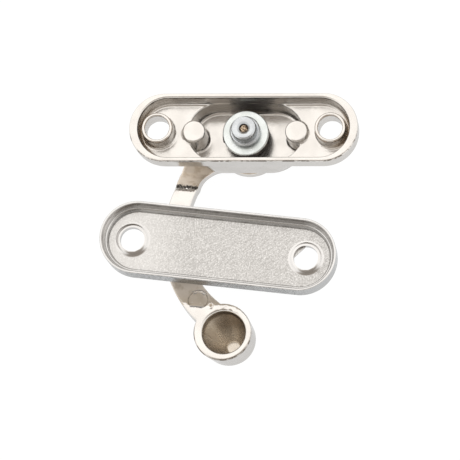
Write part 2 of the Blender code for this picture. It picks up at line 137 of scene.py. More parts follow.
# Patches of the studio: a direction, then a colour at each cosine of the angle from it
OVERHEAD = (-0.12, 0.28, 0.95), ((0.35, (0.80, 0.79, 0.77)), (0.93, (1.0, 0.975, 0.945)))
DIM_SIDE = (0.05, -0.46, 0.88), ((0.81, (1.0, 1.0, 1.0)), (0.95, (0.28, 0.255, 0.23)))

# Which sockets of the Mix node are its colour ones
MIX_FACTOR, MIX_FIRST, MIX_SECOND, MIX_RESULT = 0, 6, 7, 2


def look_frame():
    """The camera's right, up and back directions, nearly square on to the backs of the plates."""
    up = Vector((0.0, math.sqrt(1 - CAMERA_LEAN**2), CAMERA_LEAN))
    rise = -CAMERA_SIDE * up.z / up.y
    right = Vector((math.sqrt(1 - CAMERA_SIDE**2 - rise**2), rise, CAMERA_SIDE))
    return right, up, right.cross(up)


def add_camera():
    """A long lens, far off, that frames the latch as the photograph does."""
    right, up, back = look_frame()
    pivot_on_back = Vector((PIVOT.x, PIVOT.y, PLATE_HIGH.z))
    aim = pivot_on_back - right * AIM_LEFT * MM - up * AIM_BELOW * MM
    data = bpy.data.cameras.new("camera")
    data.sensor_width = SENSOR_WIDTH
    data.lens = SENSOR_WIDTH * CAMERA_DISTANCE / VIEW_WIDTH
    data.clip_start, data.clip_end = 0.01, 50.0
    camera = bpy.data.objects.new("camera", data)
    bpy.context.scene.collection.objects.link(camera)
    place = Matrix((right, up, back)).transposed().to_4x4()
    place.translation = aim + back * CAMERA_DISTANCE
    camera.matrix_world = place
    bpy.context.scene.camera = camera


def add_floor():
    """A plain white table that glows evenly, so the latch lies on white with no hard shadow."""
    bpy.ops.mesh.primitive_plane_add(size=FLOOR_SIZE, location=(0.0, 0.0, -FLOOR_DROP))
    floor = bpy.context.object
    floor.name = "floor"
    material = bpy.data.materials.new("white_table")
    material.use_nodes = True
    shader = material.node_tree.nodes["Principled BSDF"]
    shader.inputs["Base Color"].default_value = (0.06, 0.06, 0.06, 1.0)
    shader.inputs["Roughness"].default_value = 0.9
    shader.inputs["Specular IOR Level"].default_value = 0.1
    shader.inputs["Emission Color"].default_value = (1.0, 1.0, 1.0, 1.0)
    shader.inputs["Emission Strength"].default_value = FLOOR_GLOW
    floor.data.materials.append(material)


def add_world():
    """A pale studio all round: warm and bright beyond the upper plate, and dim on the knob's side."""
    world = bpy.data.worlds.new("studio")
    bpy.context.scene.world = world
    world.use_nodes = True
    nodes, links = world.node_tree.nodes, world.node_tree.links
    background = nodes["Background"]
    coords = nodes.new("ShaderNodeTexCoord")

    def patch(direction, stops):
        """Colours that change with the angle from a direction, by its cosine."""
        facing = nodes.new("ShaderNodeVectorMath")
        facing.operation = "DOT_PRODUCT"
        facing.inputs[1].default_value = Vector(direction).normalized()
        links.new(coords.outputs["Generated"], facing.inputs[0])
        ramp = nodes.new("ShaderNodeValToRGB")
        ramp.color_ramp.interpolation = "EASE"
        elements = ramp.color_ramp.elements
        for element, (place, colour) in zip(elements, stops):
            element.position, element.color = place, (*colour, 1.0)
        links.new(facing.outputs["Value"], ramp.inputs["Fac"])
        return ramp.outputs["Color"]

    overhead, dim_side = patch(*OVERHEAD), patch(*DIM_SIDE)
    mix = nodes.new("ShaderNodeMix")
    mix.data_type, mix.blend_type = "RGBA", "MULTIPLY"
    mix.inputs[MIX_FACTOR].default_value = 1.0
    links.new(overhead, mix.inputs[MIX_FIRST])
    links.new(dim_side, mix.inputs[MIX_SECOND])
    links.new(mix.outputs[MIX_RESULT], background.inputs["Color"])
    background.inputs["Strength"].default_value = STUDIO_STRENGTH


# Mesh work


def obround(length, width, depth):
    """A ring of points, a straight-sided oval, this deep below the plates' backs."""
    radius = width / 2
    straight = length / 2 - radius
    ring = []
    for side, start in ((1, -90), (-1, 90)):
        for i in range(ARC + 1):
            angle = math.radians(start + 180 * i / ARC)
            x = side * straight + radius * math.cos(angle)
            ring.append((x, radius * math.sin(angle), BACK - depth))
    return ring


def circle(radius, z, centre=(0.0, 0.0)):
    """A ring of points at one height."""
    turn = [2 * math.pi * i / ROUND for i in range(ROUND)]
    return [(centre[0] + radius * math.cos(a), centre[1] + radius * math.sin(a), z) for a in turn]


def mesh_object(name, bm):
    """An object in the scene from a finished bmesh, which is used up."""
    bmesh.ops.recalc_face_normals(bm, faces=bm.faces)
    mesh = bpy.data.meshes.new(name)
    bm.to_mesh(mesh)
    bm.free()
    made = bpy.data.objects.new(name, mesh)
    bpy.context.scene.collection.objects.link(made)
    return made


def loft(name, rings):
    """A closed solid through rings of equally many points, capped at both ends."""
    bm = bmesh.new()
    rows = [[bm.verts.new(p) for p in ring] for ring in rings]
    count = len(rows[0])
    for low, high in zip(rows, rows[1:]):
        for i in range(count):
            j = (i + 1) % count
            bm.faces.new((low[i], low[j], high[j], high[i]))
    bm.faces.new(rows[0])
    bm.faces.new(reversed(rows[-1]))
    return mesh_object(name, bm)


def turned(name, profile, centre=(0.0, 0.0)):
    """A turned solid through (radius, height) pairs."""
    return loft(name, [circle(r, z, centre) for r, z in profile])


def rounded_drop(inset, depth, radius, steps=10):
    """(inset, depth) pairs for a quarter-round edge that ends a wall at this depth."""
    turn = [math.radians(90 * i / steps) for i in range(1, steps + 1)]
    return [(inset + radius * (1 - math.cos(a)), depth - radius + radius * math.sin(a)) for a in turn]


def bake_modifiers(piece):
    """Replaces a piece's mesh with what its modifiers make of it."""
    bpy.context.view_layer.update()
    shaped = bpy.data.meshes.new_from_object(piece.evaluated_get(bpy.context.evaluated_depsgraph_get()))
    piece.modifiers.clear()
    piece.data = shaped


def combine(target, tool, operation):
    """Joins or cuts a solid with another, which is used up."""
    step = target.modifiers.new(operation.lower(), "BOOLEAN")
    step.operation = operation
    step.solver = "EXACT"
    step.object = tool
    bake_modifiers(target)
    bpy.data.objects.remove(tool, do_unlink=True)


def cast(piece, voxel, passes, seed):
    """Gives a solid the soft edges and the faint waviness of a plated die casting."""
    remesh = piece.modifiers.new("grain", "REMESH")
    remesh.mode = "VOXEL"
    remesh.voxel_size = voxel
    soften = piece.modifiers.new("soften", "SMOOTH")
    soften.factor = 0.5
    soften.iterations = passes
    bake_modifiers(piece)
    mesh = piece.data
    normals = [v.normal.copy() for v in mesh.vertices]
    offset = Vector((seed, seed * 0.7, -seed))
    for vertex, normal in zip(mesh.vertices, normals):
        vertex.co += normal * SWELL * noise.noise(vertex.co / SWELL_SIZE + offset)


def roughen(piece, line_y, half_width, size, amount):
    """Pits the back of a piece along a band across it."""
    mesh = piece.data
    normals = [v.normal.copy() for v in mesh.vertices]
    for vertex, normal in zip(mesh.vertices, normals):
        near = 1 - abs(vertex.co.y - line_y) / half_width
        if near > 0 and normal.z > 0.2:
            vertex.co += normal * amount * min(1.0, 2 * near) * noise.noise(vertex.co / size)


def place_piece(piece, turn=0.0, at=None):
    """Moves a piece from millimetres about its own axis to its place in metres."""
    where = PIVOT if at is None else at
    move = Matrix.Translation((where.x, where.y, 0.0)) @ Matrix.Rotation(turn, 4, "Z") @ Matrix.Scale(MM, 4)
    piece.data.transform(move)
    piece.data.update()
    piece.data.shade_smooth()


def adopt(piece, node, body, material):
    """Gives a piece its material, and puts it on a body in place of a CAD node."""
    piece.data.materials.clear()
    piece.data.materials.append(material)
    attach(piece, body)
    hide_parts(node)


# Pieces


def screw_hole(x, front_z):
    """A cutter for a bore that is countersunk at the front."""
    radius, sink = HOLE_D / 2, HOLE_SINK
    profile = [(radius + sink + OVERCUT, front_z - OVERCUT), (radius + sink, front_z),
               (radius, front_z + sink), (radius, BACK + OVERCUT)]
    return turned("screw_hole", profile, (x, 0.0))


def stub(name, x, diameter, top, foot, spread):
    """A round boss with a small bevel, a little wider at its foot."""
    radius = diameter / 2
    return turned(name, [(radius + spread, foot), (radius, top - NIP), (radius - NIP, top)], (x, 0.0))


def sunk(name, length, width, top_rings, depth, lean):
    """A cutter for a pan with leaning walls and a fillet round its floor."""
    floor = rounded_drop(0.0, depth, PAN_FILLET, 4)
    rings = [obround(length - 2 * (lean + s), width - 2 * (lean + s), d) for s, d in floor]
    return loft(name, top_rings + rings)


def make_upper_plate():
    """The upper plate: an obround with a raised pad, its pan and pocket, bosses, posts and bores."""
    wall_depth = END_DEPTH - END_ROUND
    lean = DRAFT * wall_depth
    levels = PLATE_RIM + [(lean, wall_depth)] + rounded_drop(lean, END_DEPTH, END_ROUND)
    outline = [obround(PLATE_LENGTH - 2 * s, PLATE_WIDTH - 2 * s, d) for s, d in levels]
    plate = loft("upper_plate_casting", outline)

    pad = [obround(*PAD_ROOT, 1.0), obround(*PAD_ROOT, END_DEPTH),
           obround(PAD_LENGTH, PAD_WIDTH, PAD_DEPTH - PAD_EDGE)]
    pad += [obround(PAD_LENGTH - 2 * s, PAD_WIDTH - PAD_SIDE_LEAN * s, d)
            for s, d in rounded_drop(0.0, PAD_DEPTH, PAD_EDGE)]
    combine(plate, loft("pad", pad), "UNION")

    rim = [obround(PAN_LENGTH + 0.8, PAN_WIDTH + 0.8, -0.3), obround(PAN_LENGTH, PAN_WIDTH, 0.1)]
    combine(plate, sunk("pan", PAN_LENGTH, PAN_WIDTH, rim, PAN_DEPTH, DRAFT * PAN_DEPTH), "DIFFERENCE")
    rim = [obround(POCKET_LENGTH, POCKET_WIDTH, PAN_DEPTH - 1.0)]
    lean = DRAFT * (POCKET_DEPTH - PAN_DEPTH)
    combine(plate, sunk("pocket", POCKET_LENGTH, POCKET_WIDTH, rim, POCKET_DEPTH, lean), "DIFFERENCE")

    pan_foot, pocket_foot = BACK - PAN_DEPTH - OVERLAP, BACK - POCKET_DEPTH - OVERLAP
    for side in (-1, 1):
        boss = stub("boss", side * BOSS_X, BOSS_D, BACK - BOSS_TOP, pan_foot, spread=0.07)
        combine(plate, boss, "UNION")
        post = stub("post", side * POST_X, POST_D, BACK - POST_TOP, pocket_foot, spread=0.08)
        combine(plate, post, "UNION")
        combine(plate, screw_hole(side * BOSS_X, BACK - END_DEPTH), "DIFFERENCE")
    bore = [(PIN_BORE_R, BACK - PAD_DEPTH - OVERCUT), (PIN_BORE_R, BACK - POCKET_DEPTH + OVERCUT)]
    combine(plate, turned("pin_bore", bore), "DIFFERENCE")
    return plate


def left_of_arc(arc, y):
    """X on the left side of an arc, given as its centre's X and Y and its radius."""
    x, centre_y, radius = arc
    return x - math.sqrt(max(radius**2 - (y - centre_y) ** 2, 0.0))


def strap_edges(y):
    """The strap's outer and inner X at a place along the arm, with the arm straight down -Y."""
    waist, fillet_y, middle = SHOULDER_ARC[1], FILLET_ARC[1], STRAP_WAIST
    outer = left_of_arc(SHOULDER_ARC, max(y, waist))
    if y < middle:
        outer = left_of_arc(OUTER_ARC, y)
    elif y < waist:
        outer = min(outer, left_of_arc(OUTER_ARC, y))
    if y > fillet_y + FILLET_ARC[2]:
        inner = STRAP_ROOT_X
    elif y > fillet_y:
        inner = left_of_arc(FILLET_ARC, y)
    elif y > middle:
        inner = min(FILLET_ARC[0] - FILLET_ARC[2], left_of_arc(INNER_ARC, y))
    else:
        inner = left_of_arc(INNER_ARC, y)
    if y <= STRAP_END:
        outer = max(outer, TUCK_OUTER)
    return outer, min(inner, TUCK_INNER)


def ramp_value(y, stops):
    """A value between (y, value) stops that run down -Y."""
    if y >= stops[0][0]:
        return stops[0][1]
    for (y0, v0), (y1, v1) in zip(stops, stops[1:]):
        if y >= y1:
            return v0 + (v1 - v0) * (y0 - y) / (y0 - y1)
    return stops[-1][1]


def strap_section(y, back_stops, front_stops):
    """The ring of points round the strap at a place along the arm."""
    left, right = strap_edges(y)
    top, foot = ramp_value(y, back_stops), ramp_value(y, front_stops)
    small, big = BACK_CORNER, min(FRONT_CORNER, 0.4 * (right - left))
    corners = ((right, top, -1, -1, small, 0, 4), (left, top, 1, -1, small, 90, 4),
               (left, foot, 1, 1, big, 180, 10), (right, foot, -1, 1, big, 270, 10))
    ring = []
    for x, z, to_x, to_z, radius, start, steps in corners:
        for i in range(steps + 1):
            angle = math.radians(start + 90 * i / steps)
            ring.append((x + to_x * radius + radius * math.cos(angle), y,
                         z + to_z * radius + radius * math.sin(angle)))
    return ring


def quarter_round(radius, edge, steps=12):
    """(radius, height) pairs for a disc's rounded front edge, from the front up to its wall."""
    turn = [math.radians(90 * i / steps) for i in range(steps + 1)]
    return [(radius - edge * (1 - math.sin(a)), edge * (1 - math.cos(a))) for a in turn]


def leaning_circle(radius, z, shift):
    """A ring of the knob, moved over from the knob's middle."""
    return circle(radius, z, (shift[0], shift[1] - KNOB_REACH))


def make_knob():
    """The knob's outside, whose front is rounded and leans to one side."""
    mouth = BACK - KNOB_MOUTH
    rings = [leaning_circle(r, z, KNOB_FRONT_SHIFT) for r, z in quarter_round(KNOB_FRONT_R, KNOB_EDGE)]
    rings += [leaning_circle(KNOB_R, mouth - NIP, (0.0, 0.0)),
              leaning_circle(KNOB_R - NIP, mouth, (0.0, 0.0))]
    return loft("knob", rings)


def make_hollow():
    """A cutter for the knob's hollow: straight at its mouth, then a cone that leans to one side."""
    mouth, floor = BACK - KNOB_MOUTH, HOLLOW_FLOOR_Z
    rings = [leaning_circle(HOLLOW_FLOOR_R - 0.3, floor, HOLLOW_FLOOR_SHIFT),
             leaning_circle(HOLLOW_FLOOR_R - 0.1, floor + 0.1, HOLLOW_FLOOR_SHIFT),
             leaning_circle(HOLLOW_FLOOR_R, floor + 0.3, HOLLOW_FLOOR_SHIFT),
             leaning_circle(HOLLOW_R - 0.1, mouth - HOLLOW_STRAIGHT, HOLLOW_SHIFT),
             leaning_circle(HOLLOW_R, mouth - 0.15, HOLLOW_SHIFT),
             leaning_circle(HOLLOW_R + 0.15, mouth, HOLLOW_SHIFT),
             leaning_circle(HOLLOW_R + 0.15 + OVERCUT, mouth + OVERCUT, HOLLOW_SHIFT)]
    return loft("knob_hollow", rings)


def make_mark(back_stops):
    """A round cut whose floor runs parallel to the slope that leads up to the knob."""
    (start, low), (end, high) = back_stops[-2:]
    rise = (high - low) / (end - start)
    top = circle(MARK_R, BACK - KNOB_MOUTH + OVERCUT, MARK_AT)
    return loft("mark", [[(x, y, low + rise * (y - start) - MARK_SINK) for x, y, _ in top], top])


def make_swing_arm():
    """The strap, the eye at the pivot and the knob, as one solid."""
    eye_top, mouth = BACK - EYE_BACK, BACK - KNOB_MOUTH
    strap_top = BACK - STRAP_BACK
    back_stops = ((-4.55, eye_top), (-6.5, strap_top - 0.48), (-6.75, strap_top - 0.28),
                  (-7.0, strap_top - 0.14), (-7.3, strap_top - 0.04), (-7.6, strap_top),
                  (-18.4, strap_top), (SLOPE_END, mouth))
    front_stops = ((-4.4, 0.01), (-7.4, STRAP_FRONT_Z), (-19.5, STRAP_FRONT_Z),
                   (-23.5, STRAP_FRONT_Z + 0.5))
    stations = [STRAP_START, STRAP_END] + [y for y, _ in back_stops + front_stops]
    count = int((STRAP_START - STRAP_END) / STRAP_STEP)
    stations += [STRAP_START - STRAP_STEP * i for i in range(1, count)]
    stations += [FILLET_ARC[1] + FILLET_ARC[2] * math.cos(math.radians(a)) for a in range(1, 90, 4)]
    stations = sorted({round(y, 3) for y in stations}, reverse=True)
    arm = loft("swing_arm_casting", [strap_section(y, back_stops, front_stops) for y in stations])

    eye = quarter_round(EYE_R, EYE_EDGE) + [(EYE_R, eye_top - NIP), (EYE_R - NIP, eye_top + 0.01)]
    combine(arm, turned("eye", eye), "UNION")
    combine(arm, make_knob(), "UNION")
    combine(arm, make_mark(back_stops), "DIFFERENCE")
    stud_z = mouth - 0.02
    stud = [(STUD_R, stud_z - 0.5), (STUD_R - 0.02, stud_z), (STUD_R - 0.12, stud_z + 0.1)]
    combine(arm, turned("stud", stud, STUD_AT), "UNION")
    combine(arm, turned("dimple", [(0.16, stud_z - 0.1), (0.24, stud_z + 0.3)], STUD_AT), "DIFFERENCE")
    combine(arm, make_hollow(), "DIFFERENCE")
    hole = [(PIN_HEAD_R, -OVERCUT), (PIN_HEAD_R, PIN_HEAD_DEPTH), (PIN_BORE_R, PIN_HEAD_DEPTH),
            (PIN_BORE_R, eye_top + OVERCUT)]
    combine(arm, turned("eye_hole", hole), "DIFFERENCE")
    return arm


def make_flash(centre, radius, direction, z):
    """A thin web left by the mould across part of a hole."""
    half = math.acos(FLASH_CHORD / radius)
    turn = [direction - half + 2 * half * i / 16 for i in range(17)]
    ring = [(centre[0] + radius * math.cos(a), centre[1] + radius * math.sin(a)) for a in turn]
    return loft("flash", [[(x, y, level) for x, y in ring] for level in (z, z + FLASH_THICK)])


def make_spring():
    """The coil between the pocket's floor and the washer, wider at the top."""
    wire = WIRE_R
    top, foot = WASHER_LOW.z / MM - wire - COIL_GAP, BACK - POCKET_DEPTH + wire + COIL_GAP
    path = []
    for i in range(COIL_STEPS + 1):
        share = i / COIL_STEPS
        angle = 2 * math.pi * COIL_TURNS * share + COIL_START
        radius = COIL_FOOT_R + (COIL_TOP_R - COIL_FOOT_R) * share
        rise = foot + (top - foot) * share
        path.append(Vector((radius * math.cos(angle), radius * math.sin(angle), rise)))
    rings = []
    for i, point in enumerate(path):
        along = (path[min(i + 1, COIL_STEPS)] - path[max(i - 1, 0)]).normalized()
        out = Vector((point.x, point.y, 0.0)).normalized()
        lift = along.cross(out).normalized()
        out = lift.cross(along)
        turn = [2 * math.pi * j / COIL_SIDES for j in range(COIL_SIDES)]
        rings.append([point + wire * (out * math.cos(a) + lift * math.sin(a)) for a in turn])
    return loft("return_coil", rings)


def make_keeper_plate():
    """The loose plate, with its stepped pan, its collared holes and the catch peg in front."""
    straight = KEEPER_DEPTH - KEEPER_EDGE
    lean = DRAFT * straight
    levels = KEEPER_RIM + [(lean, straight)] + rounded_drop(lean, KEEPER_DEPTH, KEEPER_EDGE)

    def rings(pairs):
        return [obround(KEEPER_LENGTH - 2 * s, KEEPER_WIDTH - 2 * s, d) for s, d in pairs]

    keeper = loft("keeper_casting", rings(levels))
    combine(keeper, loft("pan", rings(KEEPER_PAN)), "DIFFERENCE")
    front, floor = BACK - KEEPER_DEPTH, BACK - KEEPER_FLOOR
    for side in (-1, 1):
        collar = [(2.4, floor - 0.2), (2.3, floor), (1.85, floor + 0.3), (1.62, floor + 0.4)]
        combine(keeper, turned("collar", collar, (side * KEEPER_HOLE_X, 0.0)), "UNION")
        combine(keeper, screw_hole(side * KEEPER_HOLE_X, front), "DIFFERENCE")
    hole = (KEEPER_HOLE_X, 0.0)
    combine(keeper, make_flash(hole, HOLE_D / 2 + 0.05, FLASH_TURN, front + FLASH_RISE), "UNION")
    radius = PEG_D / 2
    peg = [(radius - 0.5, front - PEG_H), (radius - 0.15, front - PEG_H + 0.15),
           (radius, front - PEG_H + 0.5), (radius + 0.05, front + 0.4)]
    combine(keeper, turned("peg", peg), "UNION")
    return keeper


# Materials


EDGE_TINT = 0.74  # keeps a metal's grazing reflections from going to white

# Colours: where there are two, the first is the lighter one, and noise blends them
NICKEL = (0.71, 0.685, 0.655), (0.67, 0.645, 0.615)
PIN_NICKEL = (0.71, 0.685, 0.655), (0.66, 0.635, 0.605)
# Painted shade in corners, and painted dark reflections in rings round the bosses
CORNER_SHADE_BROWN, RING_REFLECTION_BROWN = (0.44, 0.36, 0.28), (0.40, 0.32, 0.245)
# Painted dark reflection lines: along the plate's lower rim and the knob's rim, under the pan's rim, and at
# the strap's upper slope edge
REFLECTION_LINE_BROWN, PAN_REFLECTION_LINE, STRAP_REFLECTION_LINE = (0.15, 0.125, 0.10), (0.10, 0.08, 0.065), (0.07, 0.066, 0.06)
# Painted reflections on the strap's two slopes, the lower one browning towards the knob, and a painted dark
# reflection ring round the mark
UPPER_SLOPE_REFLECTION = (0.90, 0.81, 0.705), (0.74, 0.635, 0.51)
LOWER_SLOPE_REFLECTION = (0.90, 0.82, 0.73), (0.74, 0.655, 0.55)
KNOB_END_BROWN, MARK_REFLECTION_BROWN = (0.56, 0.485, 0.39), (0.28, 0.235, 0.185)
# Painted light and shade in the knob's hollow: streak colours, the darkest painted shade, and a lighter
# colour near its floor
HOLLOW_DARK, HOLLOW_LIGHT = (0.59, 0.52, 0.43), (0.75, 0.68, 0.58)
HOLLOW_SHADE, HOLLOW_NEAR = (0.24, 0.195, 0.15), (0.66, 0.60, 0.52)
SCRATCH_DARK, SCRATCH_LIGHT = (0.45, 0.44, 0.425), (0.59, 0.582, 0.57)
# The last two are painted light on the keeper's floor: a lighter left end, and glints
SPECK, LEFT_END_LIGHT, GLINT = (0.34, 0.33, 0.32), (0.68, 0.67, 0.655), (0.76, 0.75, 0.735)
KEEPER_WALL = (0.66, 0.65, 0.64), (0.61, 0.60, 0.59)
KEEPER_SIDE, KEEPER_BLOT = (0.54, 0.545, 0.545), (0.20, 0.205, 0.21)
# Painted shade in the keeper's corners, and painted dark lines of shade and reflection round its pan's wall
KEEPER_CORNER_SHADE, KEEPER_PAINTED_LINE = (0.42, 0.40, 0.385), (0.26, 0.245, 0.235)
WASHER_ZINC = (0.68, 0.71, 0.705), (0.64, 0.675, 0.66)
COLLAR_ZINC = (0.60, 0.625, 0.645), (0.52, 0.54, 0.56)
OILY_STEEL = (0.055, 0.05, 0.048), (0.14, 0.12, 0.11)
PEENED_DARK, PEENED_LIGHT = (0.10, 0.07, 0.05), (0.66, 0.52, 0.38)

SHADED_SIDE = (0.1, 0.995, 0.0)  # the side of the knob's hollow where the painted shade is darkest


class Graph:
    """A small helper that adds nodes to a material and joins them."""

    def __init__(self, name):
        self.material = bpy.data.materials.new(name)
        self.material.use_nodes = True
        self.nodes = self.material.node_tree.nodes
        self.links = self.material.node_tree.links
        self.shader = self.nodes["Principled BSDF"]
        self.coords = self.nodes.new("ShaderNodeTexCoord").outputs["Object"]

    def put(self, kind, settings=None, **inputs):
        """Adds a node. Its inputs are given as values or as other nodes' outputs."""
        node = self.nodes.new(kind)
        for key, value in (settings or {}).items():
            setattr(node, key, value)
        for key, value in inputs.items():
            socket = node.inputs[key.replace("_", " ")]
            if isinstance(value, bpy.types.NodeSocket):
                self.links.new(value, socket)
            else:
                socket.default_value = value
        return node

    def turned_coords(self, turn, stretch=(1.0, 1.0, 1.0), origin=(0.0, 0.0, 0.0)):
        """Coordinates about an origin, along turned axes, with the first axis drawn out."""
        node = self.put("ShaderNodeMapping", {"vector_type": "TEXTURE"}, Vector=self.coords)
        node.inputs["Location"].default_value = origin
        node.inputs["Rotation"].default_value = (0.0, 0.0, turn)
        node.inputs["Scale"].default_value = stretch
        return node.outputs["Vector"]

    def grain(self, size, detail=3.0, stretch=None, rough=0.5):
        """Noise with features about this size, in metres. A stretch gives the angle and the times."""
        vector = self.coords
        if stretch:
            vector = self.turned_coords(stretch[0], (stretch[1], 1.0, 1.0))
        return self.put("ShaderNodeTexNoise", Vector=vector, Scale=1.0 / size, Detail=detail,
                        Roughness=rough).outputs["Fac"]

    def spread(self, value, low, high, start=0.35, end=0.65):
        """A value from low to high as noise goes from start to end."""
        node = self.put("ShaderNodeMapRange", Value=value)
        node.interpolation_type = "SMOOTHSTEP"
        for key, number in (("From Min", start), ("From Max", end), ("To Min", low), ("To Max", high)):
            node.inputs[key].default_value = number
        return node.outputs["Result"]

    def blend(self, factor, first, second):
        """The first colour at 0, and the second at 1."""
        node = self.nodes.new("ShaderNodeMix")
        node.data_type = "RGBA"
        self._set(node.inputs[MIX_FACTOR], factor)
        self._set(node.inputs[MIX_FIRST], first)
        self._set(node.inputs[MIX_SECOND], second)
        return node.outputs[MIX_RESULT]

    def _set(self, socket, value):
        """Joins a socket to another node's output, or gives it a value."""
        if isinstance(value, bpy.types.NodeSocket):
            self.links.new(value, socket)
        elif isinstance(value, tuple):
            socket.default_value = (*value, 1.0)
        else:
            socket.default_value = value

    def maths(self, operation, first, second=0.0):
        """The result of a Math node."""
        node = self.nodes.new("ShaderNodeMath")
        node.operation = operation
        self._set(node.inputs[0], first)
        self._set(node.inputs[1], second)
        return node.outputs[0]

    def product(self, first, *others):
        """Masks and values multiplied together."""
        for other in others:
            first = self.maths("MULTIPLY", first, other)
        return first

    def patchy(self, grain, low, high, start=0.4, end=0.6):
        """How strong a mark is from place to place, from low to high."""
        return self.spread(grain, low, high, start, end)

    def about(self, turn, centre):
        """X, Y and Z along turned axes about a point."""
        coords = self.turned_coords(turn, origin=(centre.x, centre.y, 0.0))
        split = self.put("ShaderNodeSeparateXYZ", Vector=coords)
        return [split.outputs[axis] for axis in "XYZ"]

    def offset(self, x, y, centre):
        """The flat vector to a point from a centre given in millimetres."""
        return self.put("ShaderNodeCombineXYZ", X=self.maths("SUBTRACT", x, centre[0] * MM),
                        Y=self.maths("SUBTRACT", y, centre[1] * MM)).outputs["Vector"]

    def vector_maths(self, operation, vector):
        """A Vector Math node on one vector."""
        return self.put("ShaderNodeVectorMath", {"operation": operation}, Vector=vector)

    def length(self, vector):
        """A vector's length."""
        return self.vector_maths("LENGTH", vector).outputs["Value"]

    def band(self, value, low, high, soft=0.05 * MM):
        """1 between low and high, and 0 outside."""
        rise = self.spread(value, 0.0, 1.0, low - soft, low + soft)
        return self.maths("MULTIPLY", rise, self.spread(value, 1.0, 0.0, high - soft, high + soft))

    def recess(self, distance):
        """1 in the open and towards 0 down in corners."""
        node = self.put("ShaderNodeAmbientOcclusion", {"samples": 8})
        node.inputs["Distance"].default_value = distance
        return node.outputs["AO"]

    def facing_up(self):
        """How far a surface faces up: 1 for level ground and 0 for a wall."""
        normal = self.nodes.new("ShaderNodeNewGeometry").outputs["Normal"]
        return self.put("ShaderNodeSeparateXYZ", Vector=normal).outputs["Z"]

    def obround_reach(self, x, y, length, width):
        """How far a point lies from the line between the centres of an obround's two round ends."""
        past_end = self.maths("SUBTRACT", self.maths("ABSOLUTE", x), (length - width) / 2 * MM)
        offset = self.put("ShaderNodeCombineXYZ", X=self.maths("MAXIMUM", past_end, 0.0), Y=y)
        return self.length(offset.outputs["Vector"])

    def bump(self, *layers):
        """Chained bumps from (height, depth in metres)."""
        normal = None
        for height, depth in layers:
            node = self.put("ShaderNodeBump", Height=height)
            node.inputs["Strength"].default_value = 1.0
            node.inputs["Distance"].default_value = depth
            if normal:
                self.links.new(normal, node.inputs["Normal"])
            normal = node.outputs["Normal"]
        self.links.new(normal, self.shader.inputs["Normal"])

    def finish(self, colour, roughness, metallic=1.0):
        """Joins up the shader of a metal, and gives back the material."""
        self._set(self.shader.inputs["Base Color"], colour)
        self._set(self.shader.inputs["Roughness"], roughness)
        self._set(self.shader.inputs["Metallic"], metallic)
        self.shader.inputs["Specular Tint"].default_value = (EDGE_TINT, EDGE_TINT, EDGE_TINT, 1.0)
        return self.material


def nickel_layers(g, *relief):
    """Colour and roughness of rippled nickel, with painted brown shade deep in corners, with any more
    relief added.
    """
    tone = g.grain(2.4 * MM, 2.0)
    ripple = g.grain(0.7 * MM, 2.0)
    fine = g.grain(0.12 * MM, 2.0)
    open_metal = g.blend(g.spread(tone, 0.0, 1.0), *NICKEL)
    # painted shade: the AO node blends brown into corners and recesses
    depth = g.spread(g.recess(2.2 * MM), 0.0, 1.0, 0.0, 0.32)
    colour = g.blend(depth, CORNER_SHADE_BROWN, open_metal)
    rough = g.maths("ADD", g.spread(tone, 0.13, 0.19), g.spread(fine, 0.0, 0.06))
    g.bump((tone, 0.00002), (ripple, 0.000006), (fine, 0.0000015), *relief)
    return colour, rough


def plate_nickel(name):
    """Plated nickel with draw marks down the pan's walls, and painted dark reflections: broken lines at the
    rim and brown boss rings.
    """
    g = Graph(name)
    x, y, z = g.about(0.0, PIVOT)
    reach = g.obround_reach(x, y, PLATE_LENGTH, PLATE_WIDTH)
    edge = PLATE_WIDTH / 2
    in_pan = g.spread(reach, 1.0, 0.0, 3.75 * MM, 3.95 * MM)
    steep = g.product(g.spread(g.facing_up(), 1.0, 0.0, 0.3, 0.6), in_pan)
    marks = g.product(g.grain(0.22 * MM, 2.0, (0.0, 9.0)), steep)
    colour, rough = nickel_layers(g, (marks, 0.00004))

    # Painted reflection: a broken dark line along the plate's lower rim
    lower_edge_reflection = g.product(g.band(reach, (edge - 0.12) * MM, (edge + 0.05) * MM),
                           g.spread(z, 0.0, 1.0, (BACK - 0.22) * MM, (BACK - 0.12) * MM),
                           g.spread(y, 1.0, 0.0, -2.0 * MM, 0.5 * MM),
                           g.patchy(g.grain(0.9 * MM, 4.0, None, 0.7), 0.0, 0.9, 0.47, 0.56))
    colour = g.blend(lower_edge_reflection, colour, REFLECTION_LINE_BROWN)

    # Painted reflection: a broken dark line just under the pan's rim
    ragged = g.maths("ADD", z, g.patchy(g.grain(0.7 * MM, 3.0), -0.08 * MM, 0.08 * MM, 0.3, 0.7))
    under_rim_reflection = g.product(g.band(ragged, (BACK - 0.42) * MM, (BACK - 0.08) * MM), steep,
                          g.patchy(g.grain(1.3 * MM, 3.0), 0.5, 1.0))
    colour = g.blend(under_rim_reflection, colour, PAN_REFLECTION_LINE)

    # Painted reflections: thin brown rings at the edges of the bosses' tops and bores
    from_boss = g.length(g.offset(g.maths("ABSOLUTE", x), y, (BOSS_X, 0.0)))
    boss_r, bore_r, soft = BOSS_D / 2, HOLE_D / 2, 0.03 * MM
    rings = g.maths("MAXIMUM", g.band(from_boss, (boss_r - 0.12) * MM, (boss_r + 0.02) * MM, soft),
                    g.band(from_boss, (bore_r - 0.02) * MM, (bore_r + 0.08) * MM, soft))
    rings = g.product(rings, g.spread(z, 0.0, 1.0, (BACK - 0.5) * MM, (BACK - 0.3) * MM),
                      g.patchy(g.grain(0.8 * MM, 2.0), 0.25, 0.85))
    colour = g.blend(rings, colour, RING_REFLECTION_BROWN)
    return g.finish(colour, rough, metallic=0.93)


